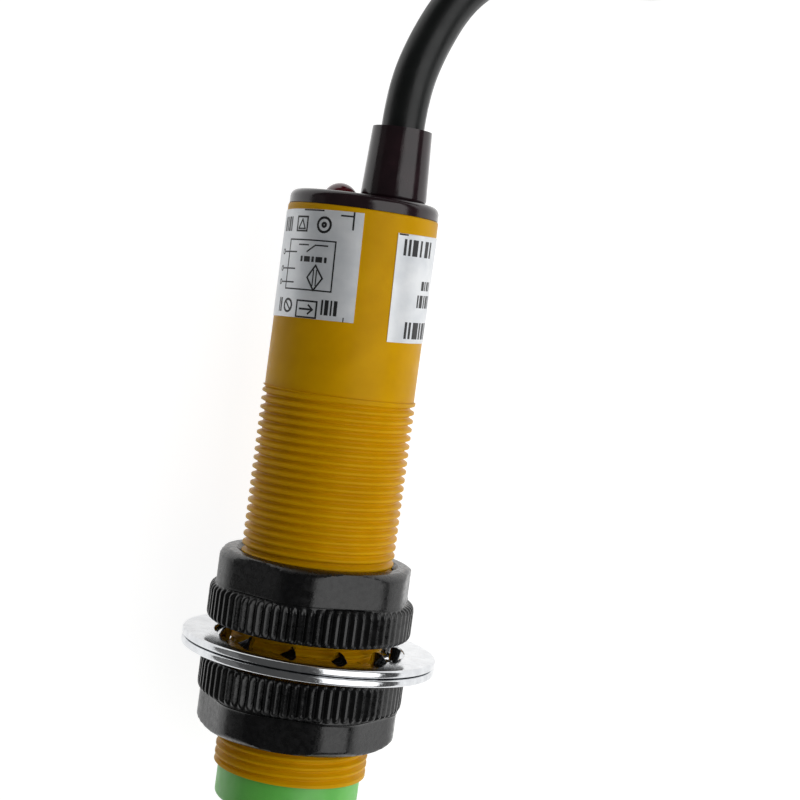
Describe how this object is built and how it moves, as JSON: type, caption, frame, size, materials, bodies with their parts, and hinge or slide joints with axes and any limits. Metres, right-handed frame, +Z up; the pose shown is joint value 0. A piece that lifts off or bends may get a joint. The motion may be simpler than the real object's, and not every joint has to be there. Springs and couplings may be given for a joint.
{
  "type": "photoelectric sensor",
  "caption": "Cylindrical threaded photoelectric sensor with clamping nuts, toothed washers, wrapped label, rear indicator and trimmer, and a coiled cable with bare leads.",
  "frame": {"origin": "on the surface that the sensor lies on, under its axis, midway between the sensing face and the tip of the cable boot", "axes": "+Y along the sensor's axis towards the cable, +Z up from the surface, +X to the right seen from above with the cable away"},
  "size_m": [0.0665, 0.167, 0.0301],
  "materials": {
    "yellow_plastic": "satin moulded plastic",
    "label_foil": "satin silver foil",
    "smoked_plastic": "glossy smoked translucent plastic",
    "red_lens": "glossy dark red lens",
    "black_nylon": "satin moulded plastic",
    "chromed_steel": "bright plated",
    "green_plastic": "satin moulded plastic",
    "infrared_lens": "polished dark red",
    "seal_rubber": "matte",
    "holder_plastic": "matte",
    "diode_resin": "polished resin",
    "tinned_metal": "tinned",
    "board_laminate": "solder mask",
    "lamp_resin": "polished resin",
    "trimmer_blue": "moulded plastic",
    "trimmer_white": "moulded plastic",
    "chip_black": "moulded resin",
    "ceramic_tan": "fired ceramic",
    "can_aluminium": "drawn can",
    "cable_jacket": "satin extruded jacket",
    "tie_plastic": "flat strap",
    "brown_insulation": "satin",
    "blue_insulation": "satin",
    "black_insulation": "satin"
  },
  "bodies": {
    "sensor": {"amplifier_chip": "chip_black", "amplifier_pins": "tinned_metal", "barrel": "yellow_plastic", "black_core": "black_insulation", "black_lead": "black_insulation", "blue_core": "blue_insulation", "blue_lead": "blue_insulation", "brown_core": "brown_insulation", "brown_lead": "brown_insulation", "cable": "cable_jacket", "cable_boot": "smoked_plastic", "cable_coil": "cable_jacket", "cable_inlet": "cable_jacket", "cable_tail": "cable_jacket", "chip_capacitors": "ceramic_tan", "chip_resistors": "chip_black", "circuit_board": "board_laminate", "coil_tie": "tie_plastic", "diode_legs": "tinned_metal", "emitter_lens": "infrared_lens", "indicator_dome": "red_lens", "indicator_lamp": "lamp_resin", "infrared_emitter": "diode_resin", "lamp_legs": "tinned_metal", "optics_holder": "holder_plastic", "output_transistor": "chip_black", "photodiode": "diode_resin", "protection_diode": "chip_black", "rear_cap": "smoked_plastic", "receiver_lens": "infrared_lens", "seal_ring": "seal_rubber", "sensing_head": "green_plastic", "smoothing_capacitor": "can_aluminium", "tinned_tips": "tinned_metal", "trimmer_housing": "trimmer_blue", "voltage_regulator": "chip_black", "wrap_label": "label_foil"},
    "rear_washer": {"rear_toothed_washer": "chromed_steel"},
    "rear_nut": {"rear_nut": "black_nylon"},
    "front_washer": {"front_toothed_washer": "chromed_steel"},
    "front_nut": {"front_nut": "black_nylon"},
    "trimmer_rotor": {"trimmer_rotor": "trimmer_white"}
  },
  "joints": [
    {"name": "rear_nut_travel", "type": "slide", "parent": "sensor", "child": "rear_washer", "axis": [0, 1, 0], "range_m": [0, 0.019]},
    {"name": "rear_nut_turn", "type": "hinge", "parent": "rear_washer", "child": "rear_nut", "pos_m": [0, -0.01495, 0.01507], "axis": [0, 1, 0], "range_deg": [0, 6840]},
    {"name": "front_nut_travel", "type": "slide", "parent": "sensor", "child": "front_washer", "axis": [0, -1, 0], "range_m": [0, 0.0035]},
    {"name": "front_nut_turn", "type": "hinge", "parent": "front_washer", "child": "front_nut", "pos_m": [0, -0.0276, 0.01507], "axis": [0, -1, 0], "range_deg": [0, 1260]},
    {"name": "trimmer_turn", "type": "hinge", "parent": "sensor", "child": "trimmer_rotor", "pos_m": [-0.0009, 0.025, 0.01057], "axis": [0, 1, 0], "range_deg": [-130, 130]}
  ],
  "couplings": [
    {"joint": "rear_nut_turn", "follows": "rear_nut_travel", "rad_per_m": 6283.2},
    {"joint": "front_nut_turn", "follows": "front_nut_travel", "rad_per_m": 6283.2}
  ]
}
